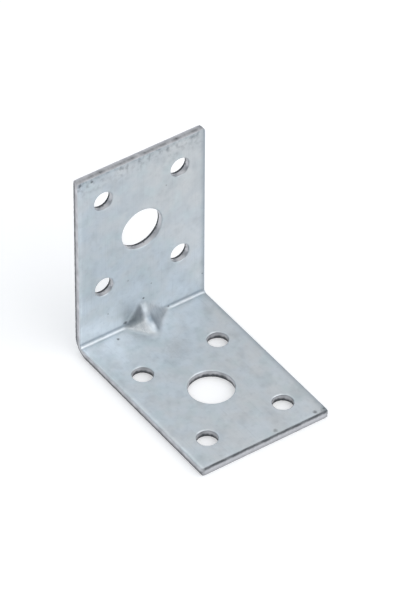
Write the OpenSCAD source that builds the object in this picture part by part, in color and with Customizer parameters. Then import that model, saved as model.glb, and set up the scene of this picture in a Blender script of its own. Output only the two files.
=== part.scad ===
// Corner brace bracket, folded from one strip of zinc-coated sheet steel.
// Millimetres, +Z up. The base leg lies on z = 0 and runs along +X, the upright leg stands
// at its heel, and the strip's width runs along Y. The origin is the middle of the base leg's
// underside, from the heel to its end. Both legs have the same holes, so one layout serves both.

/* [Strip] */
// Width of the strip
strip_width = 35; // [30:0.5:60]
// Thickness of the sheet
sheet_thickness = 2; // [1.5:0.1:2.5]
// Length of the base leg, from the outside of the heel to its end
base_length = 51.5; // [48:0.5:90]
// Height of the upright leg, from the outside of the heel to its top
upright_length = 51.5; // [48:0.5:90]
// Radius of the four corners of the strip, as cropped
corner_radius = 0.5; // [0.3:0.1:4]

/* [Bend] */
// Radius on the inside of the bend
bend_inside_radius = 0.8; // [0.5:0.1:2.5]
// Share of the sheet's thickness that the bend has lost at its middle
bend_thinning = 0.3; // [0:0.01:0.35]

/* [Bolt holes] */
// Diameter of the bolt hole in each leg
bolt_hole_diameter = 11; // [8:0.1:13]
// Distance of the bolt hole from the outside of the heel
bolt_hole_distance = 29.9; // [26:0.1:36]

/* [Nail holes] */
// Diameter of the nail holes, four in each leg
nail_hole_diameter = 5; // [3:0.1:6]
// Distance between the two nail holes of a row
nail_hole_spacing = 21; // [18:0.1:24]
// Distance of the first row of nail holes from the outside of the heel
nail_row_distance = 17.4; // [16:0.1:20]
// Distance of the last row of nail holes from the end of its leg
nail_end_distance = 8.2; // [6:0.1:12]

/* [Punching] */
// Share of the thickness over which a punched hole is straight, below its inner face
punch_land_share = 0.6; // [0.3:0.05:0.9]
// How much wider in radius the punch leaves the hole at its outer face
punch_breakout = 0.15; // [0.05:0.01:0.3]

/* [Pressed rib] */
// Distance from the outside of the heel to either tip of the rib, on the inner faces
rib_reach = 8.3; // [7:0.1:9.5]
// How far the middle of the rib's crest is sunk below the straight line between its tips
rib_sink = 1.2; // [0:0.1:2]
// Width of the flat along the crest
rib_crest_width = 0.6; // [0:0.1:2]
// Radius of the tool's edges, which the rib's hollow side takes
rib_tool_radius = 0.5; // [0.3:0.1:1.5]
// Slope of the rib's two flanks, in degrees from its crest, as pressed a little off square
rib_left_slope = 34; // [30:0.5:50]
rib_right_slope = 24.5; // [24:0.5:50]
// Share of the sheet's thickness that the pressed rib has lost
rib_thinning = 0.2; // [0:0.01:0.3]
// Depth over which the rib's foot blends into the sheet around it
rib_blend_depth = 0.7; // [0.4:0.1:1.2]

/* [Hidden] */
round_sides = 96;
rib_steps_along = 40;
rib_steps_across = 34;
// Spacing of the rib's steps in its middle, as a share of their mean spacing
middle_crowding = 0.45;
cut_margin = 1;
root_two = sqrt(2);
// The outer radius of a bend that is thinner at its middle by bend_thinning
bend_outside_radius = bend_inside_radius + sheet_thickness * (1 + bend_thinning / (root_two - 1));
// How far the rib's tips stand off the sharp corner of the two inner faces, at 45 degrees
rib_tip_height = (rib_reach - sheet_thickness) / root_two;
rib_middle_height = rib_tip_height - rib_sink;
// How steeply the crest climbs from its middle to its tips
rib_climb = rib_sink / rib_tip_height;
// Radius of the saddle in the middle of the crest, and its growth down the flanks
rib_saddle_radius = 0.3;
rib_saddle_growth = 0.3;
rib_wall = sheet_thickness * (1 - rib_thinning);
rib_raised_radius = rib_tool_radius + rib_wall;
// The hollow side blends over more depth than the raised one, as the outside of a fold is
// rounder, by this share of the thickness
rib_hollow_growth = 0.25;
rib_hollow_blend = rib_blend_depth + rib_hollow_growth * sheet_thickness;
// The formed rib is this much inside the plain sheet's faces where the two overlap
rib_step = 0.03;
rib_overlap = 0.25;
// How far the zone of the rib and its blends runs along the rib, and to its left and right
rib_zone_length = rib_overlap + max(
    rib_middle_height + rib_blend_depth,
    rib_middle_height - rib_wall + rib_hollow_blend + sheet_thickness * root_two) / (1 - rib_climb);
rib_zone_left = rib_zone_side(rib_left_slope);
rib_zone_right = rib_zone_side(rib_right_slope);

// Height of a rounded corner at distance s from its middle plane: |s| with a round bottom
function corner_height(s, radius) =
    abs(s) < radius / root_two ? radius * root_two - sqrt(radius * radius - s * s) : abs(s);

// Height of the sheet's inner face over the sharp inner corner
function inner_face(s) = corner_height(s, bend_inside_radius);

// Height of the sheet's outer face over the sharp inner corner
function outer_face(s) = corner_height(s, bend_outside_radius) - sheet_thickness * root_two;

// Height of the rib's crest: straight from both tips to a round saddle in the middle
function rib_crest(s, y) =
    let (saddle = rib_saddle_radius + rib_saddle_growth * abs(y))
    rib_middle_height + rib_climb * (norm([s, saddle]) - saddle);

// The rib's cross-section below its crest: a flat, an arc over the edge, then a straight flank
function rib_section(y, radius) =
    let (slope = y < 0 ? rib_left_slope : rib_right_slope,
         arc_width = radius * sin(slope),
         off = max(abs(y) - rib_crest_width / 2, 0))
    off < arc_width
        ? sqrt(radius * radius - off * off) - radius
        : radius * (cos(slope) - 1) - (off - arc_width) * tan(slope);

// The higher of two heights, with the crease between them filled over a depth
function blended(a, b, depth) =
    max(a, b) + pow(max(depth - abs(a - b), 0), 2) / (4 * depth);

// Height of the sheet's raised side, and of its hollow side, with the rib in it
function formed_inside(s, y) =
    blended(inner_face(s), rib_crest(s, y) + rib_section(y, rib_raised_radius), rib_blend_depth);
function formed_outside(s, y) =
    blended(outer_face(s), rib_crest(s, y) - rib_wall + rib_section(y, rib_tool_radius),
            rib_hollow_blend);

// How far from the crest a flank and its blend reach in the middle of the bend, on one side
function rib_half_width(drop, radius, slope) =
    rib_crest_width / 2 + radius * sin(slope) + (drop - radius * (1 - cos(slope))) / tan(slope);
function rib_zone_side(slope) = rib_overlap + max(
    rib_half_width(rib_middle_height + rib_blend_depth - inner_face(0), rib_raised_radius, slope),
    rib_half_width(rib_middle_height - rib_wall + rib_hollow_blend - outer_face(0),
                   rib_tool_radius, slope));

// A point at s along the rib, y across it and h above the inner corner, in the heel's frame
function rib_point(s, y, h) =
    [sheet_thickness + (h + s) / root_two, y, sheet_thickness + (h - s) / root_two];

// Places from -1 to 1, closer together in the middle, where the sheet bends most
function crowded(step, steps) =
    let (u = 2 * step / steps - 1) u * (middle_crowding + (1 - middle_crowding) * u * u);

// Places across the rib, from the left end of its zone to the right one, with one on the crest
function rib_place_across(step) =
    let (share = crowded(step, rib_steps_across))
    share * (share < 0 ? rib_zone_left : rib_zone_right);

// The middle of the bend with the rib pressed into it: one closed sheet between its raised
// and its hollow side, which runs on a little way inside the plain sheet around it
module formed_rib() {
    columns = rib_steps_across + 1;
    count = (rib_steps_along + 1) * columns;
    grid = [for (i = [0:rib_steps_along], j = [0:rib_steps_across])
        [rib_zone_length * crowded(i, rib_steps_along), rib_place_across(j)]];
    raised = [for (p = grid) rib_point(p[0], p[1], formed_inside(p[0], p[1]) - rib_step)];
    hollow = [for (p = grid) rib_point(p[0], p[1], formed_outside(p[0], p[1]) + rib_step)];
    function at(i, j) = i * columns + j;
    last_i = rib_steps_along;
    last_j = rib_steps_across;
    raised_faces = [for (i = [0:last_i - 1], j = [0:last_j - 1])
        let (a = at(i, j), b = at(i, j + 1), c = at(i + 1, j + 1), d = at(i + 1, j))
        each [[a, b, c], [a, c, d]]];
    hollow_faces = [for (face = raised_faces) [count + face[0], count + face[2], count + face[1]]];
    side_faces = [for (i = [0:last_i - 1]) each [
        [at(i, 0), at(i + 1, 0), count + at(i + 1, 0), count + at(i, 0)],
        [at(i + 1, last_j), at(i, last_j), count + at(i, last_j), count + at(i + 1, last_j)]]];
    end_faces = [for (j = [0:last_j - 1]) each [
        [at(0, j + 1), at(0, j), count + at(0, j), count + at(0, j + 1)],
        [at(last_i, j), at(last_i, j + 1), count + at(last_i, j + 1), count + at(last_i, j)]]];
    polyhedron(concat(raised, hollow), concat(raised_faces, hollow_faces, side_faces, end_faces));
}

// The window in the plain sheet that the formed rib fills
module rib_window() {
    reach = root_two * rib_zone_length - rib_overlap;
    left = rib_zone_left - rib_overlap;
    right = rib_zone_right - rib_overlap;
    translate([-cut_margin, -left, -cut_margin])
        cube([reach + cut_margin, left + right, reach + cut_margin]);
}

// The folded strip seen from its edge, with its heel's sharp outer corner at the origin
module fold_profile() {
    inner = sheet_thickness + bend_inside_radius;
    outer = bend_outside_radius;
    difference() {
        union() {
            translate([outer, 0]) square([base_length - outer, sheet_thickness]);
            translate([0, outer]) square([sheet_thickness, upright_length - outer]);
            square([max(outer, inner), max(outer, inner)]);
        }
        // Outside of the heel
        difference() {
            translate([-cut_margin, -cut_margin]) square(outer + cut_margin);
            translate([outer, outer]) circle(r = outer, $fn = round_sides);
        }
        // Inside of the bend
        hollow_corner(inner);
    }
}

// The open quarter inside the bend, up to the rounded inner corner
module hollow_corner(inner) {
    reach = base_length + upright_length;
    difference() {
        translate([sheet_thickness, sheet_thickness]) square(reach);
        difference() {
            square(inner);
            translate([inner, inner]) circle(r = bend_inside_radius, $fn = round_sides);
        }
    }
}

// A leg's outline from above, from the heel along +X, with its two free corners rounded
module leg_outline(leg_length) {
    difference() {
        translate([-cut_margin, -strip_width / 2]) square([leg_length + cut_margin, strip_width]);
        for (side = [-1, 1])
            translate([leg_length - corner_radius, side * (strip_width / 2 - corner_radius)])
                difference() {
                    translate([0, side > 0 ? 0 : -corner_radius - cut_margin])
                        square(corner_radius + cut_margin);
                    circle(r = corner_radius, $fn = round_sides);
                }
    }
}

// A hole punched from the inner face: straight first, then torn wider towards the outer face.
// The leg lies on z = 0 with its outer face down.
module punched_hole(diameter) {
    torn = sheet_thickness * (1 - punch_land_share);
    translate([0, 0, -cut_margin])
        cylinder(h = sheet_thickness + 2 * cut_margin, d = diameter, $fn = round_sides);
    translate([0, 0, -torn])
        cylinder(h = 2 * torn, r1 = diameter / 2 + 2 * punch_breakout, r2 = diameter / 2,
                 $fn = round_sides);
}

// All the holes of one leg that runs from the heel along +X
module leg_holes(leg_length) {
    translate([bolt_hole_distance, 0]) punched_hole(bolt_hole_diameter);
    for (along = [nail_row_distance, leg_length - nail_end_distance], side = [-1, 1])
        translate([along, side * nail_hole_spacing / 2]) punched_hole(nail_hole_diameter);
}

// Turns what lies along +X with its outer face down into the upright leg's place
module as_upright() {
    rotate([0, 90, 0]) mirror([1, 0, 0]) children();
}

// The strip cropped, folded and punched, before the rib is pressed
module folded_strip() {
    height = upright_length + cut_margin;
    depth = base_length + cut_margin;
    difference() {
        intersection() {
            translate([0, strip_width / 2, 0]) rotate([90, 0, 0])
                linear_extrude(height = strip_width) fold_profile();
            linear_extrude(height = height) leg_outline(base_length);
            as_upright() linear_extrude(height = depth) leg_outline(upright_length);
        }
        leg_holes(base_length);
        as_upright() leg_holes(upright_length);
    }
}

module corner_bracket() {
    color("silver")
        translate([-base_length / 2, 0, 0])
            union() {
                difference() {
                    folded_strip();
                    rib_window();
                }
                formed_rib();
            }
}

corner_bracket();
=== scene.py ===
"""Corner brace bracket: one strip of galvanised sheet steel, punched, folded and ribbed.

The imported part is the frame. One closed skin stands for it here, with what the punching, the
cropping and the pressing leave on the real sheet: rolled edges, torn edges and a rib with soft
feet. Shapes are worked out in millimetres and put into the meshes in metres.
"""
from __future__ import annotations

import logging
import math
from dataclasses import dataclass, field
from enum import Enum
from typing import Any

import bpy
import numpy as np
from mathutils import Matrix, Vector


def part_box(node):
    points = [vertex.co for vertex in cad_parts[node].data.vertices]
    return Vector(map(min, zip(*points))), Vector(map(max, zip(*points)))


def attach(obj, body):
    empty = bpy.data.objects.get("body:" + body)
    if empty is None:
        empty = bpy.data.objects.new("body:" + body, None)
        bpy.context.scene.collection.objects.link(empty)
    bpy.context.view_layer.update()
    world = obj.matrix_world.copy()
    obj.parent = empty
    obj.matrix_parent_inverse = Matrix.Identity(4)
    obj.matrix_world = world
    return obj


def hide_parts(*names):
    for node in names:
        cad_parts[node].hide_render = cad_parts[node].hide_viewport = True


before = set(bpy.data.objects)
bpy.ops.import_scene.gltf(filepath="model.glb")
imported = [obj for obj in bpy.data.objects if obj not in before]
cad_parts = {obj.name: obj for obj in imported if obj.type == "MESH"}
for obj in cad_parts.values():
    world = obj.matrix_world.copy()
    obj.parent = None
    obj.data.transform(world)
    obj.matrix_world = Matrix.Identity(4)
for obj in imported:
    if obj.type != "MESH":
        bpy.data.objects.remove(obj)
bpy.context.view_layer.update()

LOG = logging.getLogger("corner_bracket")
MM = 0.001
ROOT_TWO = math.sqrt(2.0)
# Points of the flat pattern that round to the same place at this many steps per mm are one.
MERGE_SCALE = 1e4
NODE = "corner_bracket"

Socket = bpy.types.NodeSocket
Layer = tuple[Socket, str]


def linear(hex_colour: str) -> tuple[float, float, float, float]:
    """Turns an sRGB hex colour such as "b9c0c6" into a linear RGBA colour.

    Args:
        hex_colour: Six hex digits.

    Returns:
        Linear red, green, blue and an alpha of 1.
    """
    channels = (int(hex_colour[i:i + 2], 16) / 255.0 for i in (0, 2, 4))
    curve = (c / 12.92 if c <= 0.04045 else ((c + 0.055) / 1.055) ** 2.4 for c in channels)
    return (*curve, 1.0)


def add_node(tree: bpy.types.NodeTree, kind: str, inputs: dict | None = None,
             **settings: Any) -> bpy.types.Node:
    """Adds a node with its settings, and sets or links its inputs.

    Args:
        tree: The node tree.
        kind: Blender's name of the node type.
        inputs: Input name or index to a constant, or to the output socket to link from.
        settings: Properties of the node itself.

    Returns:
        The new node.
    """
    node = tree.nodes.new(kind)
    for name, value in settings.items():
        setattr(node, name, value)
    for key, value in (inputs or {}).items():
        if isinstance(value, Socket):
            tree.links.new(value, node.inputs[key])
        else:
            node.inputs[key].default_value = value
    return node


def new_material(name: str) -> tuple[bpy.types.Material, bpy.types.NodeTree]:
    """Makes an empty node material.

    Args:
        name: The material's name.

    Returns:
        The material and its node tree, without nodes.
    """
    material = bpy.data.materials.new(name)
    material.use_nodes = True
    material.node_tree.nodes.clear()
    return material, material.node_tree


def ripple(along: np.ndarray, length: float, wavelengths: tuple[float, ...],
           rng: np.random.Generator) -> np.ndarray:
    """Works out an uneven line round a closed edge: a sum of sines that each close on themselves.

    Args:
        along: Distance along the edge, in mm.
        length: The edge's whole length, in mm.
        wavelengths: The sines' rough wavelengths, in mm.
        rng: The source of their phases and weights.

    Returns:
        One value per point, with a spread of about 1.
    """
    turns = np.maximum(1, np.round(length / np.array(wavelengths)))
    phases = rng.uniform(0, 2 * np.pi, len(turns))
    weights = rng.uniform(0.6, 1.0, len(turns))
    waves = np.sin(2 * np.pi * along[:, None] / length * turns + phases)
    return waves @ weights / np.sqrt((weights ** 2).sum() / 2)


def bell(value: np.ndarray, place: float, width: float) -> np.ndarray:
    """A bell curve of a value: 1 at a place, and 0.37 one width away from it."""
    return np.exp(-((value - place) / width) ** 2)


def ramp(value: np.ndarray, start: float, end: float) -> np.ndarray:
    """A straight line of a value, 0 at the start and 1 at the end, and level beyond them."""
    return np.clip((value - start) / (end - start), 0, 1)


class Leg(Enum):
    """The two legs, by the side of the bend that they lie on."""

    UPRIGHT = -1
    BASE = 1


@dataclass(frozen=True)
class Fold:
    """The bend and the rib pressed into its middle.

    Both faces of the sheet are heights h over the sharp corner of its two inner faces: s runs
    across the bend at 45 degrees, from the upright towards the base, y across the strip, and h
    out of the corner. Sizes are in mm and degrees.
    """

    thickness: float = 2.0
    inside_radius: float = 0.8
    thinning: float = 0.3
    rib_reach: float = 8.3
    rib_sink: float = 1.2
    rib_saddle_radius: float = 0.3
    rib_saddle_spread: float = 0.3
    rib_flat: float = 0.3
    rib_nose_radius: float = 0.5
    rib_flank_left: float = 34.0
    rib_flank_right: float = 24.5
    rib_thinning: float = 0.2
    rib_blend_depth: float = 0.7
    rib_outer_blend_share: float = 0.25
    rib_full_lift: float = 0.5

    @property
    def outside_radius(self) -> float:
        """Outer radius of a bend that is thinner at its middle."""
        return self.inside_radius + self.thickness * (1 + self.thinning / (ROOT_TWO - 1))

    @staticmethod
    def corner(s: np.ndarray, radius: float) -> np.ndarray:
        """Works out a corner of two 45 degree slopes, |s|, with an arc at its bottom.

        Args:
            s: Distance across the bend.
            radius: The arc's radius.

        Returns:
            The corner's height.
        """
        inside = np.abs(s) < radius / ROOT_TWO
        arc = radius * ROOT_TWO - np.sqrt(np.where(inside, radius ** 2 - s ** 2, 0.0))
        return np.where(inside, arc, np.abs(s))

    def section(self, y: np.ndarray, radius: float) -> np.ndarray:
        """Works out the rib's section: a flat crest, an arc over its edge, a straight flank.

        Args:
            y: Distance across the strip.
            radius: The arc's radius.

        Returns:
            Depth below the crest, as a height that falls from 0.
        """
        angle = np.radians(np.where(y < 0, self.rib_flank_left, self.rib_flank_right))
        half, off = radius * np.sin(angle), np.maximum(np.abs(y) - self.rib_flat, 0.0)
        arc = np.sqrt(np.where(off < half, radius ** 2 - off ** 2, 0.0)) - radius
        flank = radius * (np.cos(angle) - 1) - (off - half) * np.tan(angle)
        return np.where(off < half, arc, flank)

    def crest(self, s: np.ndarray, y: np.ndarray) -> np.ndarray:
        """Works out the rib's crest: a hyperbola, straight from both tips to a round saddle in
        the middle, which is wider down the flanks.

        Args:
            s: Distance across the bend.
            y: Distance across the strip.

        Returns:
            The crest's height.
        """
        tip = (self.rib_reach - self.thickness) / ROOT_TWO
        saddle = self.rib_saddle_radius + self.rib_saddle_spread * np.abs(y)
        return tip - self.rib_sink + self.rib_sink / tip * (np.hypot(s, saddle) - saddle)

    @staticmethod
    def blended(a: np.ndarray, b: np.ndarray, depth: float) -> np.ndarray:
        """The higher of two heights, with the crease between them filled over a depth."""
        return np.maximum(a, b) + np.maximum(depth - np.abs(a - b), 0.0) ** 2 / (4 * depth)

    def inner(self, s: np.ndarray, y: np.ndarray) -> np.ndarray:
        """Works out the raised side: the inside corner and the rib, blended.

        Args:
            s: Distance across the bend.
            y: Distance across the strip.

        Returns:
            The raised side's height.
        """
        wall = self.thickness * (1 - self.rib_thinning)
        rib = self.crest(s, y) + self.section(y, self.rib_nose_radius + wall)
        return self.blended(self.corner(s, self.inside_radius), rib, self.rib_blend_depth)

    def outer(self, s: np.ndarray, y: np.ndarray) -> np.ndarray:
        """Works out the hollow side: the outside corner and the rib a wall lower, blended.

        Args:
            s: Distance across the bend.
            y: Distance across the strip.

        Returns:
            The hollow side's height.
        """
        wall = self.thickness * (1 - self.rib_thinning)
        plain = self.corner(s, self.outside_radius) - self.thickness * ROOT_TWO
        rib = self.crest(s, y) - wall + self.section(y, self.rib_nose_radius)
        depth = self.rib_blend_depth + self.rib_outer_blend_share * self.thickness
        return self.blended(plain, rib, depth)

    def pressed(self, q: np.ndarray, y: np.ndarray) -> np.ndarray:
        """Share by which the tool has drawn the raised side, by its lift over the plain bend."""
        lift = self.inner(q / ROOT_TWO, y) - self.corner(q / ROOT_TWO, self.inside_radius)
        return ramp(lift, 0.0, self.rib_full_lift)

    def place(self, q: np.ndarray, y: np.ndarray, depth: np.ndarray) -> np.ndarray:
        """Puts points of the flat sheet where the folded sheet has them.

        A point's s is q / sqrt(2) on the inner face. On the outer face it runs ahead by
        thickness / sqrt(2) times a sine that grows from 0 in the bend's middle to 1 at its end,
        so that both faces lie square to each other on the legs. In between it is a mean by depth.

        Args:
            q: Distance along the strip from the inner corner, up the upright below 0, in mm.
            y: Distance across the strip, in mm.
            depth: 0 on the inner face to 1 on the outer face.

        Returns:
            Points in mm, one row each, from the outside of the heel.
        """
        lead = np.sin(np.pi / 2 * np.clip(q / (self.outside_radius - self.thickness), -1, 1))
        s_in, s_out = q / ROOT_TWO, (q + self.thickness * lead) / ROOT_TWO
        s = s_in + (s_out - s_in) * depth
        h_in, h_out = self.inner(s_in, y), self.outer(s_out, y)
        h = h_in + (h_out - h_in) * depth
        corner = self.thickness
        return np.stack([corner + (h + s) / ROOT_TWO, y, corner + (h - s) / ROOT_TWO], axis=-1)


@dataclass(frozen=True)
class CutEdge:
    """What a punch or a blade leaves through the sheet's thickness, from the side it enters.

    First the face rolls over, then comes a smooth land, and last the metal tears, a little back
    from the cut and uneven, with a small bevel at the far face. A dark line of painted shade may
    run along the edge. Painted shade may darken the land, and the tear darkens from one depth
    over a rise, partly as rough steel and partly as painted shade. The waves are those of the
    unevenness along the edge. Sizes are in mm, and darkness and blotches are shares.
    """

    roll_width: float = 0.3
    roll_depth: float = 0.24
    land_end: float = 1.3
    tear_back: float = 0.12
    # Darkness of the tear, partly rough steel and partly painted shade.
    tear_darkness: float = 1.0
    dark_from: float = 0.0
    tear_roughness: float = 0.025
    land_unevenness: float = 0.07
    # Painted shade on the land.
    land_darkness: float = 0.0
    blotches: float = 0.3
    bevel: float = 0.05
    # A dark line of painted shade along the edge.
    step_place: float = 0.0
    step_width: float = 0.3
    step_wander: float = 0.06
    step_darkness: float = 0.0
    dark_rise: float = 0.12
    land_waves: tuple[float, ...] = (9.0, 4.1, 2.3, 1.1)
    tear_waves: tuple[float, ...] = (3.1, 1.7, 1.2, 0.9)
    blotch_waves: tuple[float, ...] = (7.0, 4.3, 2.9)
    roll_steps: int = 5
    land_steps: int = 2
    tear_steps: int = 6

    def profile(self, thickness: float, inset: float, along: np.ndarray, length: float,
                rng: np.random.Generator) -> np.ndarray:
        """Works out the edge's section at each point along it.

        The roll is a quarter of an ellipse, the land is straight, and the tear leaves it by a
        square root of the way through, with ripples along the edge that differ at each depth and
        grow over its first third. The line of painted shade is a bell curve of the depth less the
        distance back from the cut.

        Args:
            thickness: The sheet's thickness.
            inset: How far inside the cut the sheet's faces end.
            along: Distance of each point along the edge.
            length: The edge's whole length.
            rng: The source of the unevenness.

        Returns:
            Offset towards the open side, depth from the inner face as a share of the thickness,
            and how much the surface is land, how dark it is as rough steel and painted shade, and
            how much it is in the line of painted shade, each by point along the edge and place
            through the thickness.
        """
        points = len(along)
        roll = np.linspace(0, np.pi / 2, self.roll_steps + 1)
        roll_off = -self.roll_width * (1 - np.sin(roll))
        roll_deep = self.roll_depth * (1 - np.cos(roll))
        land_end = self.land_end + self.land_unevenness * ripple(
            along, length, self.land_waves, rng)
        land = np.linspace(0, 1, self.land_steps + 1)[1:]
        land_deep = self.roll_depth + land * (land_end[:, None] - self.roll_depth)
        tear = np.linspace(0, 1, self.tear_steps + 1)[1:]
        tear_deep = land_end[:, None] + tear * (thickness - self.bevel - land_end[:, None])
        rough = np.stack([ripple(along, length, self.tear_waves, rng)
                          for _ in range(self.tear_steps)], axis=1)
        tear_off = (-self.tear_back * np.sqrt(tear)
                    - self.tear_roughness * np.abs(rough) * np.minimum(1, 3 * tear))
        ones = np.ones((points, 1))
        offset = np.concatenate([
            -inset * ones, ones * roll_off, np.zeros((points, self.land_steps)),
            tear_off, tear_off[:, -1:] - self.bevel, -inset * ones], axis=1)
        deep = np.concatenate([
            0 * ones, ones * roll_deep, land_deep, tear_deep, thickness * ones,
            thickness * ones], axis=1)
        steps = np.cumsum([1, self.roll_steps + 1, self.land_steps, self.tear_steps])
        is_smooth = np.zeros_like(offset)
        is_smooth[:, steps[1] - 1:steps[3] + 1] = 1.0
        blotches = np.clip(1 + self.blotches * ripple(along, length, self.blotch_waves, rng), 0, 2)
        # Painted shade on the land, then the tear's darkness, partly rough steel and partly
        # painted shade, rising with depth.
        torn = self.land_darkness * is_smooth * blotches[:, None]
        torn[:, steps[2] - 1:steps[3] + 1] = self.tear_darkness
        torn[:, steps[2] - 1:] *= ramp(
            deep[:, steps[2] - 1:], self.dark_from, self.dark_from + self.dark_rise)
        # A dark line of painted shade, wandering along the edge.
        wander = self.step_wander * ripple(along, length, self.land_waves, rng)
        step = self.step_darkness * blotches[:, None] * bell(
            deep + offset - wander[:, None], self.step_place, self.step_width)
        return np.stack([offset, deep / thickness, is_smooth, torn, step])


@dataclass(frozen=True)
class Hole:
    """A round hole: its place on the flat strip and its radius, in mm."""

    q: float
    y: float
    radius: float


@dataclass(frozen=True)
class Spot:
    """A soft spot on the flat strip: its place, and a bell curve's width along it and across
    it, in mm. With no end to its width across, it is a line right across the strip."""

    strength: float
    q: float
    q_width: float
    y: float = 0.0
    y_width: float = math.inf

    def at(self, q: np.ndarray, y: np.ndarray) -> np.ndarray:
        """The spot's strength at each point."""
        return self.strength * bell(q, self.q, self.q_width) * bell(y, self.y, self.y_width)


@dataclass(frozen=True)
class Wear:
    """Where the strip is scuffed and aged, and where highlights and shade are painted on it.

    Places are on the flat strip, in mm: q along it from its middle, with the upright below 0,
    and y across it. A pair is a place and a bell curve's width, or where a ramp starts and where
    it is full. Lines along an edge are placed from that edge. Strengths are shares.
    """

    scuff_start: float = 43.5
    scuff_power: float = 1.5
    aged: float = 0.7
    aged_along: tuple[float, float] = (-16.0, -36.0)
    aged_across: tuple[float, float] = (-16.25, 8.75)
    # Painted highlight along the left edge, fainter up the upright.
    left_line: tuple[float, float] = (0.55, 0.4)
    left_line_top: float = 0.3
    left_line_along: tuple[float, float] = (-45.0, -10.0)
    # Painted shade along the right edge.
    right_line: tuple[float, float] = (0.0, 0.9)
    right_line_upright: float = 0.65
    right_line_base: float = 0.45
    # Painted highlight along the base's end.
    end_line: float = 0.5
    end_line_place: tuple[float, float] = (0.85, 0.35)
    # Painted shade along the upright's top edge.
    top_line: float = 0.3
    top_line_width: float = 0.6
    # Painted highlight round the rims of the base's holes.
    rim: float = 0.6
    rim_place: tuple[float, float] = (0.25, 0.2)
    # Painted lighter tone on the base, beside the bend and towards the left side.
    pale_base: float = 0.3
    pale_along: tuple[float, float] = (-50.0, 50.0)
    pale_bend: float = 0.2
    pale_bend_widths: tuple[float, float] = (11.0, 1.4)
    pale_side: Spot = Spot(0.325, 3.0, 20.0)
    pale_side_across: tuple[float, float] = (15.75, -7.0)
    # Painted highlight on the upper end of the rib's crest.
    upper_crest: Spot = Spot(0.8, -3.6, 1.8, 0.0, 0.8)
    # Painted shade on the rib's lower crest and foot.
    lower_crest: tuple[Spot, ...] = (Spot(0.9, 0.6, 1.8, 0.5, 1.2), Spot(0.45, 4.6, 1.5, 0.6, 1.2))
    # Painted shade along each side of the fold.
    fold_lines: tuple[Spot, ...] = (Spot(0.5, -0.9, 0.35), Spot(0.4, 0.5, 0.35))
    # Painted highlight on the rib's left flank below the fold.
    flank_along: tuple[float, float] = (0.0, 0.8)
    flank_across: tuple[float, float] = (-0.4, -1.4)
    # Painted shade on the rib's left flank above the fold.
    flank_shade: float = 0.12
    flank_shade_along: tuple[float, float] = (0.0, -0.8)
    flank_shade_across: tuple[float, float] = (0.0, -0.5)


@dataclass
class Skin:
    """A growing mesh: points on the flat sheet, their depth, their cut marks, and quads."""

    flat: list[np.ndarray] = field(default_factory=list)
    depth: list[np.ndarray] = field(default_factory=list)
    marks: list[np.ndarray] = field(default_factory=list)
    quads: list[np.ndarray] = field(default_factory=list)
    count: int = 0

    def add(self, flat: np.ndarray, depth: np.ndarray, marks: np.ndarray) -> np.ndarray:
        """Adds points.

        Args:
            flat: Their places on the flat sheet.
            depth: Their depths, from 0 on the inner face to 1 on the outer face.
            marks: How much each is land, dark steel and painted shade, and a line of painted
                shade.

        Returns:
            Their numbers.
        """
        self.flat.append(flat)
        self.depth.append(depth)
        self.marks.append(marks)
        numbers = self.count + np.arange(len(flat))
        self.count += len(flat)
        return numbers


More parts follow.
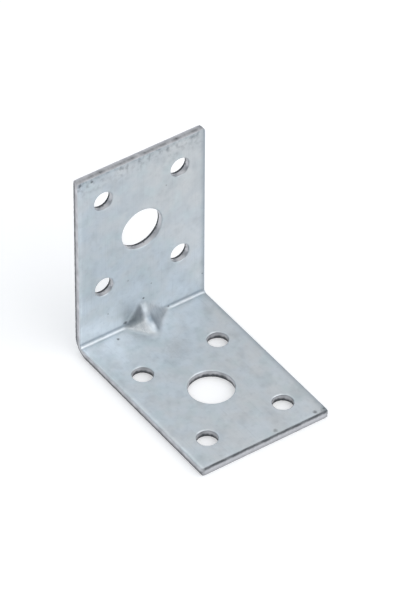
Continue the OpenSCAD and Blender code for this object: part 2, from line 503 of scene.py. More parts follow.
@dataclass
class Bracket:
    """The bracket's skin: a flat pattern of cells with round holes, folded by Fold.

    Sizes are in mm. Distances from the heel are to its outside. The faces end one inset from
    each cut, and the points within rim_catch insets of a hole are the ring round it. The zones
    end where the grid of cells changes along the strip, and the steps are its counts.
    """

    width: float
    leg_length: float
    fold: Fold = Fold()
    wear: Wear = Wear()
    corner_radius: float = 0.5
    bolt_radius: float = 5.5
    bolt_distance: float = 29.9
    nail_radius: float = 2.5
    nail_spacing: float = 21.0
    nail_row: float = 17.4
    nail_end: float = 8.2
    inset: float = 0.46
    seed: int = 7
    # The land darkness and the dark lines of these edges are painted shade; the tears' darkness is
    # partly rough steel and partly painted shade.
    base_hole_edge: CutEdge = CutEdge(land_darkness=0.33, land_unevenness=0.14)
    upright_hole_edge: CutEdge = CutEdge(dark_from=1.3, land_darkness=0.08)
    slit_edge: CutEdge = CutEdge(
        roll_width=0.28, roll_depth=0.18, land_end=1.4, land_darkness=0.24, tear_darkness=0.9)
    base_end_edge: CutEdge = CutEdge(
        roll_width=0.43, roll_depth=0.2, land_end=0.42, tear_back=0.05, tear_darkness=0.5,
        dark_from=0.7, dark_rise=1.2, step_darkness=1.0, step_width=0.57, step_wander=0.04,
        blotches=0.05)
    upright_end_edge: CutEdge = CutEdge(
        roll_width=0.12, roll_depth=0.12, land_end=1.6, tear_back=0.03, tear_darkness=0.0,
        tear_roughness=0.018, land_darkness=0.12, step_darkness=0.7, step_place=0.66,
        step_width=0.34, step_wander=0.08, blotches=0.2)
    bend_zone: float = 11.0
    near_nail_zone: float = 20.2
    bolt_zone: float = 36.2
    middle_strip: float = 7.0
    border: float = 1.6
    border_steps: int = 4
    bend_steps: int = 116
    near_nail_steps: int = 22
    bolt_steps: int = 30
    far_nail_steps: int = 24
    middle_steps: int = 56
    nail_strip_steps: int = 22
    ring_steps: int = 7
    bend_crowding: float = 0.45
    middle_crowding: float = 0.6
    ring_crowding: float = 1.3
    rim_catch: float = 1.5
    sharp_angle: float = 42.0

    def holes(self) -> list[Hole]:
        """Lists the holes of both legs: a bolt hole and four nail holes in each.

        Returns:
            The ten holes, with their places on the flat strip.
        """
        found = []
        for leg in Leg:
            bolt = self.bolt_distance - self.fold.thickness
            found.append(Hole(leg.value * bolt, 0.0, self.bolt_radius))
            for distance in (self.nail_row, self.leg_length - self.nail_end):
                for side in (-1, 1):
                    q = leg.value * (distance - self.fold.thickness)
                    found.append(Hole(q, side * self.nail_spacing / 2, self.nail_radius))
        return found

    @staticmethod
    def ticks(start: float, end: float, steps: int, crowding: float = 1.0) -> np.ndarray:
        """Places from start to end, as u (c + (1 - c) u u), closer in the middle for c below 1."""
        u = np.linspace(-1, 1, steps + 1)
        return (start + end) / 2 + (end - start) / 2 * u * (crowding + (1 - crowding) * u * u)

    def rounded_cell(self, cell: np.ndarray, sign_q: int, sign_y: int) -> np.ndarray:
        """Rounds the strip's corner in a corner cell.

        The two outer sides follow the straight, arc, straight outline, by length, and the inside
        is the sum of the two ruled sheets between opposite sides, less the bilinear one.

        Args:
            cell: Grid of points by q and y.
            sign_q: Side of the strip's middle that the cell lies on, along it.
            sign_y: The same across it.

        Returns:
            The rounded grid.
        """
        grid = cell * (sign_q, sign_y)
        grid = grid[::sign_q, ::sign_y]
        (q0, y0), (q1, y1) = grid[0, 0], grid[-1, -1]
        radius = self.corner_radius - self.inset
        runs = np.cumsum([0, y1 - y0 - radius, np.pi / 2 * radius, q1 - q0 - radius])

        def outline(share: np.ndarray) -> np.ndarray:
            """Points on the rounded outline, by their share of its length."""
            run = share * runs[-1]
            angle = np.clip((run - runs[1]) / radius, 0, np.pi / 2)
            q = q1 - radius + radius * np.cos(angle) - np.maximum(run - runs[2], 0)
            y = y0 + np.minimum(run, runs[1]) + radius * np.sin(angle)
            return np.stack([q, y], axis=-1)

        a = np.linspace(0, 1, grid.shape[0])[:, None, None]
        b = np.linspace(0, 1, grid.shape[1])[None, :, None]
        low, left = grid[:, :1], grid[:1]
        right, top = outline(b[0, :, 0] / 2)[None], outline(1 - a[:, 0, 0] / 2)[:, None]
        tip = outline(np.array([0.5]))[None]
        flat = ((1 - a) * (1 - b) * grid[0, 0] + a * (1 - b) * grid[-1, 0]
                + (1 - a) * b * grid[0, -1] + a * b * tip)
        out = (1 - a) * left + a * right + (1 - b) * low + b * top - flat
        return out[::sign_q, ::sign_y] * (sign_q, sign_y)

    def ring_cell(self, cell: np.ndarray, hole: Hole) -> np.ndarray:
        """Grid between a cell's outline and the round hole in it, along rays from its centre.

        Args:
            cell: The plain cell's grid of points.
            hole: The hole.

        Returns:
            Points by step outwards and by place round the hole, with the first place repeated.
        """
        outline = np.concatenate([cell[:-1, 0], cell[-1, :-1], cell[:0:-1, -1], cell[0, ::-1]])
        centre = np.array([hole.q, hole.y])
        rays = outline - centre
        round_hole = centre + rays / np.linalg.norm(rays, axis=1, keepdims=True) * (
            hole.radius + self.inset)
        share = np.linspace(0, 1, self.ring_steps + 1)[:, None, None] ** self.ring_crowding
        return round_hole + (outline - round_hole) * share

    def flat_pattern(self) -> tuple[np.ndarray, np.ndarray]:
        """Works out the flat sheet, up to where its edges begin to roll over.

        Returns:
            Points by q and y, and quads that turn left seen from the inner face.
        """
        q_end = self.leg_length - self.fold.thickness - self.inset
        y_end = self.width / 2 - self.inset
        spans = [(self.bend_zone, self.near_nail_zone, self.near_nail_steps),
                 (self.near_nail_zone, self.bolt_zone, self.bolt_steps),
                 (self.bolt_zone, q_end - self.border, self.far_nail_steps),
                 (q_end - self.border, q_end, self.border_steps)]
        base = [self.ticks(a, b, n) for a, b, n in spans]
        bend = self.ticks(-self.bend_zone, self.bend_zone, self.bend_steps, self.bend_crowding)
        columns = [-ticks[::-1] for ticks in base[::-1]] + [bend] + base
        side = [self.ticks(self.middle_strip, y_end - self.border, self.nail_strip_steps),
                self.ticks(y_end - self.border, y_end, self.border_steps)]
        middle = self.ticks(-self.middle_strip, self.middle_strip, self.middle_steps,
                            self.middle_crowding)
        rows = [-ticks[::-1] for ticks in side[::-1]] + [middle] + side
        points, quads, count = [], [], 0
        for i, q in enumerate(columns):
            for j, y in enumerate(rows):
                cell = np.stack(np.meshgrid(q, y, indexing="ij"), axis=-1)
                held = [h for h in self.holes() if q[0] < h.q < q[-1] and y[0] < h.y < y[-1]]
                if held:
                    cell = self.ring_cell(cell, held[0])
                elif i in (0, len(columns) - 1) and j in (0, len(rows) - 1):
                    cell = self.rounded_cell(cell, 1 if i else -1, 1 if j else -1)
                number = count + np.arange(cell[..., 0].size).reshape(cell.shape[:2])
                points.append(cell.reshape(-1, 2))
                quads.append(np.stack([number[:-1, :-1], number[1:, :-1], number[1:, 1:],
                                       number[:-1, 1:]], axis=-1).reshape(-1, 4))
                count += number.size
        loose = np.concatenate(points)
        _, first, merged = np.unique(np.round(loose * MERGE_SCALE).astype(np.int64), axis=0,
                                     return_index=True, return_inverse=True)
        return loose[first], merged.ravel()[np.concatenate(quads)]

    def add_rim(self, skin: Skin, faces: tuple[np.ndarray, np.ndarray], ring: np.ndarray,
                anchor: np.ndarray, normal: np.ndarray, profile: np.ndarray,
                outward: bool) -> None:
        """Joins the two faces round one cut edge, with a profile carried along it.

        Args:
            skin: The mesh.
            faces: Point numbers of the flat pattern on the inner and on the outer face.
            ring: Numbers of the flat points on this edge, in order, turning left.
            anchor: Where the cut is at each point.
            normal: Direction to the open side at each point.
            profile: What CutEdge.profile gives.
            outward: True round the strip, and False round a hole.
        """
        offset, depth, *marks = profile[:, :, 1:-1]
        flat = anchor[:, None] + normal[:, None] * offset[..., None]
        new = skin.add(flat.reshape(-1, 2), depth.ravel(),
                       np.stack(marks, axis=-1).reshape(-1, 3)).reshape(len(ring), -1)
        table = np.concatenate([faces[0][ring][:, None], new, faces[1][ring][:, None]], axis=1)
        after = np.roll(table, -1, axis=0)
        quads = np.stack([table[:, :-1], after[:, :-1], after[:, 1:], table[:, 1:]], axis=-1)
        skin.quads.append((quads[..., ::-1] if outward else quads).reshape(-1, 4))

    def build(self) -> bpy.types.Object:
        """Makes the bracket's mesh and object.

        Returns:
            The object, at the origin, with its finish still to come.
        """
        rng = np.random.default_rng(self.seed)
        flat, quads = self.flat_pattern()
        skin, none = Skin(), np.zeros((len(flat), 3))
        faces = (skin.add(flat, np.zeros(len(flat)), none),
                 skin.add(flat, np.ones(len(flat)), none))
        skin.quads += [faces[0][quads], faces[1][quads[:, ::-1]]]
        rim = self.open_points(quads, len(flat))
        for hole in self.holes():
            away = np.hypot(*(flat[rim] - (hole.q, hole.y)).T)
            mine = away < hole.radius + self.rim_catch * self.inset
            self.close_hole(skin, faces, flat, rim[mine], hole, rng)
            rim = rim[~mine]
        self.close_strip(skin, faces, flat, rim, rng)
        return self.make_object(skin)

    @staticmethod
    def open_points(quads: np.ndarray, count: int) -> np.ndarray:
        """Finds the points on an open edge: those where a quad's side has no twin that runs back.

        Args:
            quads: The flat pattern's quads.
            count: How many points the pattern has.

        Returns:
            The numbers of these points.
        """
        starts, ends = quads.ravel(), np.roll(quads, -1, axis=1).ravel()
        forward = starts.astype(np.int64) * count + ends
        backward = ends.astype(np.int64) * count + starts
        return np.unique(starts[~np.isin(forward, backward)])

    def close_hole(self, skin: Skin, faces: tuple[np.ndarray, np.ndarray], flat: np.ndarray,
                   ring: np.ndarray, hole: Hole, rng: np.random.Generator) -> None:
        """Joins the two faces round a hole, along the circle of its radius.

        Args:
            skin: The mesh.
            faces: Point numbers of the flat pattern on the inner and on the outer face.
            flat: The flat pattern's points.
            ring: Numbers of the flat points round the hole.
            hole: The hole.
            rng: The source of the cut's unevenness.
        """
        rays = flat[ring] - (hole.q, hole.y)
        order = np.argsort(np.arctan2(rays[:, 1], rays[:, 0]))
        ring, rays = ring[order], rays[order]
        normal = -rays / np.linalg.norm(rays, axis=1, keepdims=True)
        along = np.unwrap(np.arctan2(rays[:, 1], rays[:, 0])) * hole.radius
        edge = self.base_hole_edge if hole.q > 0 else self.upright_hole_edge
        profile = edge.profile(self.fold.thickness, self.inset, along,
                               2 * np.pi * hole.radius, rng)
        self.add_rim(skin, faces, ring, (hole.q, hole.y) - normal * hole.radius,
                     normal, profile, outward=False)

    def close_strip(self, skin: Skin, faces: tuple[np.ndarray, np.ndarray], flat: np.ndarray,
                    ring: np.ndarray, rng: np.random.Generator) -> None:
        """Joins the two faces round the strip, along a rectangle with round corners.

        At a corner one edge's section turns into the next one's by the square of the normal's
        part towards each.

        Args:
            skin: The mesh.
            faces: Point numbers of the flat pattern on the inner and on the outer face.
            flat: The flat pattern's points.
            ring: Numbers of the flat points round the strip.
            rng: The source of the cuts' unevenness.
        """
        ring = ring[np.argsort(np.arctan2(flat[ring, 1] / self.width, flat[ring, 0] / self.width))]
        ends = np.array([self.leg_length - self.fold.thickness, self.width / 2])
        core = np.clip(flat[ring], self.corner_radius - ends, ends - self.corner_radius)
        normal = flat[ring] - core
        normal /= np.linalg.norm(normal, axis=1, keepdims=True)
        anchor = core + normal * self.corner_radius
        steps = np.linalg.norm(np.roll(anchor, -1, axis=0) - anchor, axis=1)
        along = np.concatenate([[0], np.cumsum(steps)[:-1]])
        across, leg = normal[:, 1] ** 2, normal[:, 0]
        shares = [(self.slit_edge, across), (self.base_end_edge, leg ** 2 * (leg > 0)),
                  (self.upright_end_edge, leg ** 2 * (leg < 0))]
        profile = sum(share[:, None] * edge.profile(
            self.fold.thickness, self.inset, along, steps.sum(), rng) for edge, share in shares)
        self.add_rim(skin, faces, ring, anchor, normal, profile, outward=True)

    def zones(self, q: np.ndarray, y: np.ndarray) -> dict[str, np.ndarray]:
        """Works out how strongly wear, painted light and painted shade show at each point of the
        strip.

        The upright's end is scuffed, more towards its edge, and the upright is aged towards its
        end and its right side. The rib is pressed. Painted highlights and a painted lighter tone
        lie on a line along the left edge, which fades up the upright, one along the base's end,
        the rims of the base's holes, the rib's left flank below the fold and the upper end of its
        crest, and faintly on the base and the sheet beside the bend. Painted shade lies on a line
        along the right edge, the upright's top edge, a line on each side of the fold, the lower
        crest of the rib and, faintly, its left flank above the fold.

        Args:
            q: Distance along the flat strip from its middle.
            y: Distance across it.

        Returns:
            The strength of each kind of wear, by its name.
        """
        wear, pressed = self.wear, self.fold.pressed(q, y)
        q_end, y_end, plain = self.leg_length - self.fold.thickness, self.width / 2, 1 - pressed
        scuffed = ramp(q, -wear.scuff_start, -q_end) ** wear.scuff_power
        aged = wear.aged * ramp(q, *wear.aged_along) * ramp(y, *wear.aged_across)
        faded = wear.left_line_top + (1 - wear.left_line_top) * ramp(q, *wear.left_line_along)
        wide, narrow = wear.pale_bend_widths
        # Painted lighter tone on the base, beside the bend and towards the left side.
        pale = (wear.pale_base * ramp(q, *wear.pale_along)
                + wear.pale_bend * plain * (bell(q, 0.0, wide) - bell(q, 0.0, narrow))
                + plain * wear.pale_side.at(q, y) * ramp(y, *wear.pale_side_across))
        # Painted highlights round the rims of the base's holes.
        rims = [wear.rim * bell(np.hypot(q - hole.q, y - hole.y) - hole.radius, *wear.rim_place)
                for hole in self.holes() if hole.q > 0]
        # Painted highlights and a painted lighter tone; on the rib the same zone also lowers the
        # roughness.
        polish_and_painted_light = [
            pale, *rims, wear.upper_crest.at(q, y), faded * bell(y_end + y, *wear.left_line),
            wear.end_line * bell(q_end - q, *wear.end_line_place),
            pressed * ramp(q, *wear.flank_along) * ramp(y, *wear.flank_across)]
        # Painted shade along the right edge, the upright's top edge and the fold, and on the rib's
        # lower crest and upper left flank.
        right_line = np.where(q < 0, wear.right_line_upright, wear.right_line_base)
        grain_and_painted_shade = [
            right_line * bell(y_end - y, *wear.right_line),
            wear.top_line * bell(q, -q_end, wear.top_line_width),
            *(plain * line.at(q, y) for line in wear.fold_lines),
            *(spot.at(q, y) for spot in wear.lower_crest),
            wear.flank_shade * pressed * ramp(q, *wear.flank_shade_along) * ramp(y, *wear.flank_shade_across)]
        return {"scuffed": scuffed, "pressed": pressed, "aged": aged,
                "polish_and_painted_light": np.max(polish_and_painted_light, axis=0), "grain_and_painted_shade": np.max(grain_and_painted_shade, axis=0)}

    def make_object(self, skin: Skin) -> bpy.types.Object:
        """Folds the flat skin and puts it into a mesh.

        Args:
            skin: The whole skin.

        Returns:
            The object.
        """
        flat, depth = np.concatenate(skin.flat), np.concatenate(skin.depth)
        marks, quads = np.concatenate(skin.marks), np.concatenate(skin.quads)
        places = self.fold.place(flat[:, 0], flat[:, 1], depth)
        places[:, 0] -= self.leg_length / 2
        mesh = bpy.data.meshes.new("bracket_skin")
        mesh.from_pydata(places * MM, [], quads.tolist())
        sheet = np.column_stack([flat, depth * self.fold.thickness]) * MM
        # The cut marks and the zones carry painted highlights and painted shade as well as wear.
        for name, kind, values, key in (
                ("sheet_place", "FLOAT_VECTOR", sheet, "vector"),
                ("land", "FLOAT", marks[:, 0], "value"),
                ("torn", "FLOAT", marks[:, 1], "value"),
                ("step", "FLOAT", marks[:, 2], "value"),
                *((name, "FLOAT", strength, "value")
                  for name, strength in self.zones(*flat.T[:2]).items())):
            layer = mesh.attributes.new(name, kind, "POINT")
            layer.data.foreach_set(key, np.ascontiguousarray(values, np.float32).ravel())
        mesh.polygons.foreach_set("use_smooth", np.ones(len(quads), bool))
        mesh.set_sharp_from_angle(angle=math.radians(self.sharp_angle))
        mesh.update()
        piece = bpy.data.objects.new("bracket", mesh)
        bpy.context.scene.collection.objects.link(piece)
        LOG.info("bracket: %d points, %d quads", len(places), len(quads))
        return piece


@dataclass(frozen=True)
class Noise:
    """A noise pattern on the strip: its size in mm, how far it is drawn out along the strip, how
    many finer layers it has, and a shift that sets it apart from the others."""

    size: float
    stretch: float = 1.0
    detail: float = 2.0
    shift: float = 0.0


@dataclass(frozen=True)
class Cloud:
    """One soft pattern of colour in the zinc, as noise of one size in mm.

    The noise is drawn out along the strip by a factor. The colour shows in full where the noise
    passes its high mark, not at all below its low mark, and only in the zone that is named.
    """

    colour: str
    size: float
    low: float
    high: float
    strength: float
    stretch: float = 1.0
    detail: float = 2.0
    zone: str = ""


@dataclass(frozen=True)
class Mark:
    """A dark mark: its place along and across the flat strip, its radius, and how far below the
    inner face it lies, in mm."""

    q: float
    y: float
    radius: float
    strength: float = 0.8
    depth: float = 0.0


@dataclass(frozen=True)
class GalvanisedSteel:
    """Hot-dip galvanised sheet steel, some time in the store.

    Zinc is a pale blue-grey metal. Dipped and rolled, it keeps faint crystals and fine rolling
    lines, and dulls in soft patches. Cut edges show the bare land, bright and drawn, and the
    torn steel, dark and rough, and both are darkened further by painted shade. Over the zinc lie
    painted highlights and painted shade where light and shade fall. The rolling lines and the
    grain are finer on the real sheet, and are as coarse here as they need to be to show.
    Colours are sRGB hex, sizes are in mm.
    """

    zinc: str = "c4ccd3"
    # Colour of the painted highlights and the painted lighter tone.
    polish_and_painted_light: str = "ecf2f7"
    aged: str = "bbbebf"
    # Colour of the darker crystals, and of the painted shade.
    grain_and_painted_shade: str = "828f9a"
    land: str = "d5d6da"
    # Colour of torn steel and of the dark marks, and of the painted shade on the cut edges.
    torn: str = "55585c"
    clouds: tuple[Cloud, ...] = (
        Cloud("d0d2d3", 7.0, 0.38, 0.62, 0.5),
        Cloud("c3d0d3", 6.0, 0.45, 0.70, 0.45),
        Cloud("8f989f", 5.0, 0.48, 0.75, 0.2),
        Cloud("8f989f", 1.4, 0.48, 0.75, 0.15, detail=4.0),
        Cloud("949ca3", 0.35, 0.52, 0.80, 0.14, stretch=40.0),
        Cloud("8896a2", 0.6, 0.42, 0.68, 0.22, stretch=5.0, zone="pressed"),
        Cloud("70767c", 1.3, 0.44, 0.72, 0.80, detail=4.0, zone="scuffed"))
    marks: tuple[Mark, ...] = (
        Mark(-6.6, 0.2, 0.42), Mark(-1.5, -4.9, 0.7), Mark(-0.6, 7.2, 0.45, 0.6),
        Mark(2.3, -8.4, 0.5), Mark(48.2, 14.6, 0.75, 0.6), Mark(48.3, 17.1, 0.5),
        Mark(48.1, 3.6, 0.8, 0.45), Mark(49.4, 17.4, 2.6, 0.75, depth=1.0),
        Mark(-6.0, 16.8, 0.3), Mark(-6.7, -9.6, 0.25),
        Mark(12.6, 1.6, 4.5, 0.12), Mark(15.2, -1.2, 3.0, 0.08),
        Mark(-10.1, 2.5, 0.3, 0.5), Mark(-14.2, -12.9, 0.22, 0.5), Mark(-14.1, -4.0, 0.25, 0.5),
        Mark(-37.8, 6.7, 0.25, 0.5), Mark(-49.0, -16.9, 0.7), Mark(-48.6, -13.6, 0.5))
    cloud_shift: float = 0.137
    noise_roughness: float = 0.55
    mark_edge: Noise = Noise(0.6, detail=3.0, shift=0.9)
    mark_unevenness: float = 0.5
    mark_core: float = 0.3
    crystal_size: float = 1.6
    crystal_strength: float = 0.06
    roughness: float = 0.46
    roughness_spread: float = 0.06
    roughness_noise: Noise = Noise(2.0, detail=3.0, shift=0.4)
    roughness_limits: tuple[float, float] = (0.3, 0.7)
    rubbed_smoothing: float = 0.18
    waves: Noise = Noise(1.6, detail=3.0, shift=0.71)
    wave_height: float = 0.02
    grain: Noise = Noise(0.25, detail=3.0)
    grain_height: float = 0.01
    grain_strength: float = 0.6

    def build(self) -> bpy.types.Material:
        """Builds the material, layer over layer, and last what the cuts have laid bare, with its
        painted shade.

        Returns:
            The material.
        """
        material, tree = new_material("hot-dip galvanised steel")
        sheet = add_node(
            tree, "ShaderNodeAttribute", attribute_name="sheet_place").outputs["Vector"]
        zone = {name: add_node(tree, "ShaderNodeAttribute", attribute_name=name).outputs["Fac"]
                for name in ("land", "torn", "step", "pressed", "scuffed", "polish_and_painted_light", "grain_and_painted_shade",
                             "aged")}
        # Painted highlights and painted shade are among these layers, beside the zinc's own
        # colours.
        layers = [(zone["aged"], self.aged), (zone["polish_and_painted_light"], self.polish_and_painted_light),
                  *self.cloud_layers(tree, sheet, zone), self.crystal_layer(tree, sheet),
                  *self.mark_layers(tree, sheet), (zone["grain_and_painted_shade"], self.grain_and_painted_shade),
                  (zone["land"], self.land), (zone["torn"], self.torn), (zone["step"], self.torn)]
        colour = linear(self.zinc)
        for share, over in layers:
            colour = add_node(tree, "ShaderNodeMix", {0: share, 6: colour, 7: linear(over)},
                              data_type="RGBA").outputs[2]
        shader = add_node(tree, "ShaderNodeBsdfPrincipled", {
            "Base Color": colour, "Metallic": 1.0, "Normal": self.relief(tree, sheet),
            "Roughness": self.sheen(tree, sheet, zone)})
        add_node(tree, "ShaderNodeOutputMaterial", {"Surface": shader.outputs[0]})
        return material

    def spread(self, tree: bpy.types.NodeTree, sheet: Socket, noise: Noise) -> Socket:
        """Lays a noise pattern on the strip.

        Args:
            tree: The node tree.
            sheet: Places on the flat sheet.
            noise: The pattern.

        Returns:
            The pattern's strength.
        """
        across = 1 / (noise.size * MM)
        moved = add_node(tree, "ShaderNodeMapping", {
            "Vector": sheet, "Location": (noise.shift, noise.shift, 0.0),
            "Scale": (across / noise.stretch, across, across)}).outputs[0]
        return add_node(tree, "ShaderNodeTexNoise", {
            "Vector": moved, "Scale": 1.0, "Detail": noise.detail,
            "Roughness": self.noise_roughness}).outputs["Fac"]

    def cloud_layers(self, tree: bpy.types.NodeTree, sheet: Socket,
                     zone: dict[str, Socket]) -> list[Layer]:
        """Makes the soft patterns of colour.

        Args:
            tree: The node tree.
            sheet: Places on the flat sheet.
            zone: The strength of each zone, by its name.

        Returns:
            A layer for each cloud.
        """
        layers = []
        for number, cloud in enumerate(self.clouds):
            noise = Noise(cloud.size, cloud.stretch, cloud.detail, self.cloud_shift * number)
            share = add_node(tree, "ShaderNodeMapRange", {
                "Value": self.spread(tree, sheet, noise),
                "From Min": cloud.low, "From Max": cloud.high, "To Max": cloud.strength},
                interpolation_type="SMOOTHSTEP").outputs[0]
            if cloud.zone:
                share = add_node(tree, "ShaderNodeMath", {0: share, 1: zone[cloud.zone]},
                                 operation="MULTIPLY").outputs[0]
            layers.append((share, cloud.colour))
        return layers

    def crystal_layer(self, tree: bpy.types.NodeTree, sheet: Socket) -> Layer:
        """Makes the zinc's crystals, each darker by a share of its own.

        Args:
            tree: The node tree.
            sheet: Places on the flat sheet.

        Returns:
            The layer.
        """
        crystal = add_node(tree, "ShaderNodeTexVoronoi", {
            "Vector": sheet, "Scale": 1 / (self.crystal_size * MM)}).outputs["Color"]
        crystal = add_node(tree, "ShaderNodeSeparateColor", {0: crystal}).outputs[0]
        share = add_node(tree, "ShaderNodeMath", {0: crystal, 1: self.crystal_strength},
                         operation="MULTIPLY").outputs[0]
        return share, self.grain_and_painted_shade

    def mark_layers(self, tree: bpy.types.NodeTree, sheet: Socket) -> list[Layer]:
        """Makes the dark marks: each fades out with distance, which a noise makes uneven.

        Args:
            tree: The node tree.
            sheet: Places on the flat sheet.

        Returns:
            A layer for each mark.
        """
        edge, uneven, layers = self.spread(tree, sheet, self.mark_edge), self.mark_unevenness, []
        for mark in self.marks:
            radius = mark.radius * MM
            far = add_node(tree, "ShaderNodeVectorMath", {
                0: sheet, 1: (mark.q * MM, mark.y * MM, mark.depth * MM)},
                operation="DISTANCE").outputs["Value"]
            far = add_node(tree, "ShaderNodeMath", {0: edge, 1: -2 * uneven * radius, 2: far},
                           operation="MULTIPLY_ADD").outputs[0]
            share = add_node(tree, "ShaderNodeMapRange", {
                "Value": far, "From Min": radius * (1 - uneven),
                "From Max": -self.mark_core * radius, "To Max": mark.strength},
                interpolation_type="SMOOTHSTEP").outputs[0]
            layers.append((share, self.torn))
        return layers

    def relief(self, tree: bpy.types.NodeTree, sheet: Socket) -> Socket:
        """Makes the fine relief: the zinc's waves, and a grain over them.

        Args:
            tree: The node tree.
            sheet: Places on the flat sheet.

        Returns:
            The bent normal.
        """
        waves = add_node(tree, "ShaderNodeBump", {
            "Height": self.spread(tree, sheet, self.waves), "Distance": self.wave_height * MM})
        return add_node(tree, "ShaderNodeBump", {
            "Height": self.spread(tree, sheet, self.grain), "Distance": self.grain_height * MM,
            "Strength": self.grain_strength, "Normal": waves.outputs[0]}).outputs[0]

    def sheen(self, tree: bpy.types.NodeTree, sheet: Socket, zone: dict[str, Socket]) -> Socket:
        """Makes the roughness: uneven, and less where the rib is rubbed, in the zone of its
        painted highlights.

        Args:
            tree: The node tree.
            sheet: Places on the flat sheet.
            zone: The strength of each zone, by its name.

        Returns:
            The roughness.
        """
        rough = add_node(tree, "ShaderNodeMapRange", {
            "Value": self.spread(tree, sheet, self.roughness_noise),
            "From Min": self.roughness_limits[0], "From Max": self.roughness_limits[1],
            "To Min": self.roughness - self.roughness_spread,
            "To Max": self.roughness + self.roughness_spread}).outputs[0]
        rubbed = add_node(tree, "ShaderNodeMath", {0: zone["pressed"], 1: zone["polish_and_painted_light"]},
                          operation="MULTIPLY").outputs[0]
        return add_node(tree, "ShaderNodeMath", {0: rubbed, 1: -self.rubbed_smoothing, 2: rough},
                        operation="MULTIPLY_ADD").outputs[0]


@dataclass(frozen=True)
class Lamp:
    """A square soft lamp: where it stands, its side in mm, and how bright its face is, where 1
    is the white of the background."""

    name: str
    azimuth: float
    elevation: float
    size: float
    radiance: float


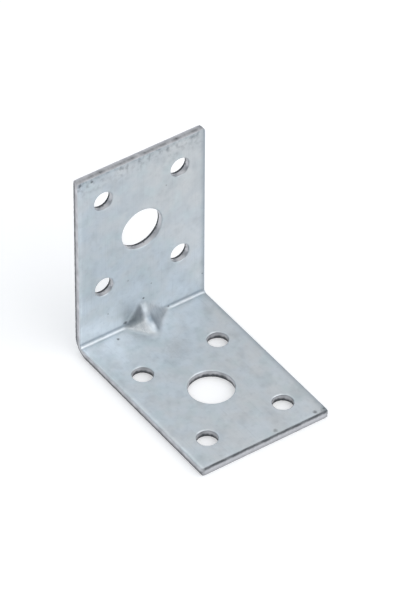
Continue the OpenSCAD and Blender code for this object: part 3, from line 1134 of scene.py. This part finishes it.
@dataclass(frozen=True)
class Studio:
    """A plain pale floor, soft lamps, and the camera at the photograph's viewing angle.

    Angles are in degrees: an azimuth of 0 looks along +Y, and 90 looks along -X. Sizes are mm.
    """

    camera_azimuth: float = 55.0
    camera_elevation: float = 41.73
    camera_roll: float = 0.28
    camera_distance: float = 1277.0
    camera_target: tuple[float, float, float] = (-20.08, 13.79, 3.73)
    lens: float = 329.2
    sensor: float = 36.0
    nearest: float = 50.0
    farthest: float = 50000.0
    floor_size: float = 6000.0
    floor_gap: float = 0.05
    floor_colour: str = "e4e4e4"
    floor_glow: float = 0.35
    sky_colour: str = "ffffff"
    world_colour: str = "dde0e4"
    horizon_colour: str = "68727c"
    horizon_low: float = 5.0
    horizon_high: float = 62.0
    dim_colour: str = "1e3444"
    dim_azimuth: float = 50.0
    dim_elevation: float = -4.0
    dim_inner: float = 28.0
    dim_outer: float = 41.0
    lamp_distance: float = 900.0
    lamps: tuple[Lamp, ...] = (
        Lamp("key", 120.0, 38.0, 1150.0, 0.95), Lamp("back", 235.0, 45.0, 1000.0, 0.04))

    @staticmethod
    def direction(azimuth: float, elevation: float) -> Vector:
        """Unit vector from the object to a place at an azimuth and an elevation."""
        a, e = math.radians(azimuth), math.radians(elevation)
        return Vector((math.sin(a) * math.cos(e), -math.cos(a) * math.cos(e), math.sin(e)))

    def add_camera(self) -> None:
        """Adds the camera and makes it the scene's own."""
        back = self.direction(self.camera_azimuth, self.camera_elevation)
        a, roll = math.radians(self.camera_azimuth), math.radians(self.camera_roll)
        level = Vector((math.cos(a), math.sin(a), 0))
        upright = back.cross(level)
        right = level * math.cos(roll) + upright * math.sin(roll)
        up = upright * math.cos(roll) - level * math.sin(roll)
        turn = Matrix((right, up, back)).transposed()
        data = bpy.data.cameras.new("camera")
        data.lens, data.sensor_width = self.lens, self.sensor
        data.clip_start, data.clip_end = self.nearest * MM, self.farthest * MM
        camera = bpy.data.objects.new("camera", data)
        place = (Vector(self.camera_target) + back * self.camera_distance) * MM
        camera.matrix_world = Matrix.Translation(place) @ turn.to_4x4()
        bpy.context.scene.collection.objects.link(camera)
        bpy.context.scene.camera = camera

    def add_lamp(self, lamp: Lamp) -> None:
        """Adds a lamp that faces the object. Its power is pi times its area and radiance.

        Args:
            lamp: The lamp.
        """
        data = bpy.data.lights.new(lamp.name, "AREA")
        data.shape, data.size = "SQUARE", lamp.size * MM
        data.energy = lamp.radiance * math.pi * (lamp.size * MM) ** 2
        stand = bpy.data.objects.new(lamp.name, data)
        way = self.direction(lamp.azimuth, lamp.elevation)
        stand.location = way * self.lamp_distance * MM
        stand.rotation_euler = way.to_track_quat("Z", "Y").to_euler()
        bpy.context.scene.collection.objects.link(stand)

    def add_floor(self) -> None:
        """Adds the pale floor, a little below the object, which keeps the object's shadow."""
        half, low = self.floor_size / 2 * MM, -self.floor_gap * MM
        mesh = bpy.data.meshes.new("floor")
        turns = [(-1, -1), (1, -1), (1, 1), (-1, 1)]
        mesh.from_pydata([(x * half, y * half, low) for x, y in turns], [], [(0, 1, 2, 3)])
        floor = bpy.data.objects.new("floor", mesh)
        bpy.context.scene.collection.objects.link(floor)
        material, tree = new_material("matt white paper")
        rays = add_node(tree, "ShaderNodeLightPath").outputs
        seen = add_node(tree, "ShaderNodeMath", {
            0: rays["Is Camera Ray"], 1: rays["Is Glossy Ray"]}, operation="MAXIMUM").outputs[0]
        seen = add_node(tree, "ShaderNodeMath", {
            0: seen, 1: rays["Is Transmission Ray"]}, operation="MAXIMUM").outputs[0]
        glow = add_node(tree, "ShaderNodeMath", {0: seen, 1: self.floor_glow},
                        operation="MULTIPLY").outputs[0]
        paper = add_node(tree, "ShaderNodeBsdfDiffuse", {"Color": linear(self.floor_colour)})
        light = add_node(tree, "ShaderNodeEmission", {"Strength": glow})
        both = add_node(tree, "ShaderNodeAddShader", {0: paper.outputs[0], 1: light.outputs[0]})
        add_node(tree, "ShaderNodeOutputMaterial", {"Surface": both.outputs[0]})
        mesh.materials.append(material)

    def add_world(self) -> None:
        """Adds the soft light all round: white to look at, a pale grey as a light, and in the
        metal white overhead, greyer near the horizon and dim behind the camera."""
        world = bpy.data.worlds.new("studio")
        world.use_nodes = True
        tree = world.node_tree
        tree.nodes.clear()
        rays = add_node(tree, "ShaderNodeLightPath").outputs
        way = add_node(tree, "ShaderNodeTexCoord").outputs["Generated"]
        side = add_node(tree, "ShaderNodeVectorMath", {
            0: way, 1: tuple(self.direction(self.dim_azimuth, self.dim_elevation))},
            operation="DOT_PRODUCT").outputs["Value"]
        share = add_node(tree, "ShaderNodeMapRange", {
            "Value": side, "From Min": math.cos(math.radians(self.dim_outer)),
            "From Max": math.cos(math.radians(self.dim_inner))},
            interpolation_type="SMOOTHSTEP").outputs[0]
        height = add_node(tree, "ShaderNodeSeparateXYZ", {0: way}).outputs["Z"]
        rise = add_node(tree, "ShaderNodeMapRange", {
            "Value": height, "From Min": math.sin(math.radians(self.horizon_low)),
            "From Max": math.sin(math.radians(self.horizon_high))},
            interpolation_type="SMOOTHSTEP").outputs[0]
        sky = add_node(tree, "ShaderNodeMix", {
            0: rise, 6: linear(self.horizon_colour), 7: linear(self.sky_colour)},
            data_type="RGBA").outputs[2]
        mirrored = add_node(tree, "ShaderNodeMix", {
            0: share, 6: sky, 7: linear(self.dim_colour)}, data_type="RGBA").outputs[2]
        seen = add_node(tree, "ShaderNodeMath", {
            0: rays["Is Glossy Ray"], 1: rays["Is Transmission Ray"]},
            operation="MAXIMUM").outputs[0]
        around = add_node(tree, "ShaderNodeMix", {
            0: seen, 6: linear(self.world_colour), 7: mirrored}, data_type="RGBA").outputs[2]
        around = add_node(tree, "ShaderNodeMix", {
            0: rays["Is Camera Ray"], 6: around, 7: linear(self.sky_colour)},
            data_type="RGBA").outputs[2]
        glow = add_node(tree, "ShaderNodeBackground", {"Color": around})
        add_node(tree, "ShaderNodeOutputWorld", {"Surface": glow.outputs[0]})
        bpy.context.scene.world = world

    def build(self) -> None:
        """Sets up the whole studio."""
        self.add_camera()
        self.add_world()
        self.add_floor()
        for lamp in self.lamps:
            self.add_lamp(lamp)
        bpy.context.scene.view_settings.view_transform = "Standard"


def main() -> None:
    """Builds the studio and the bracket."""
    logging.basicConfig(level=logging.INFO, format="%(name)s: %(message)s")
    Studio().build()
    LOG.info("studio: camera, world, floor and lamps")
    low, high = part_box(NODE)
    bracket = Bracket(width=(high.y - low.y) / MM, leg_length=(high.x - low.x) / MM)
    piece = bracket.build()
    piece.data.materials.append(GalvanisedSteel().build())
    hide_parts(NODE)
    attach(piece, "root")


if __name__ == "__main__":
    main()
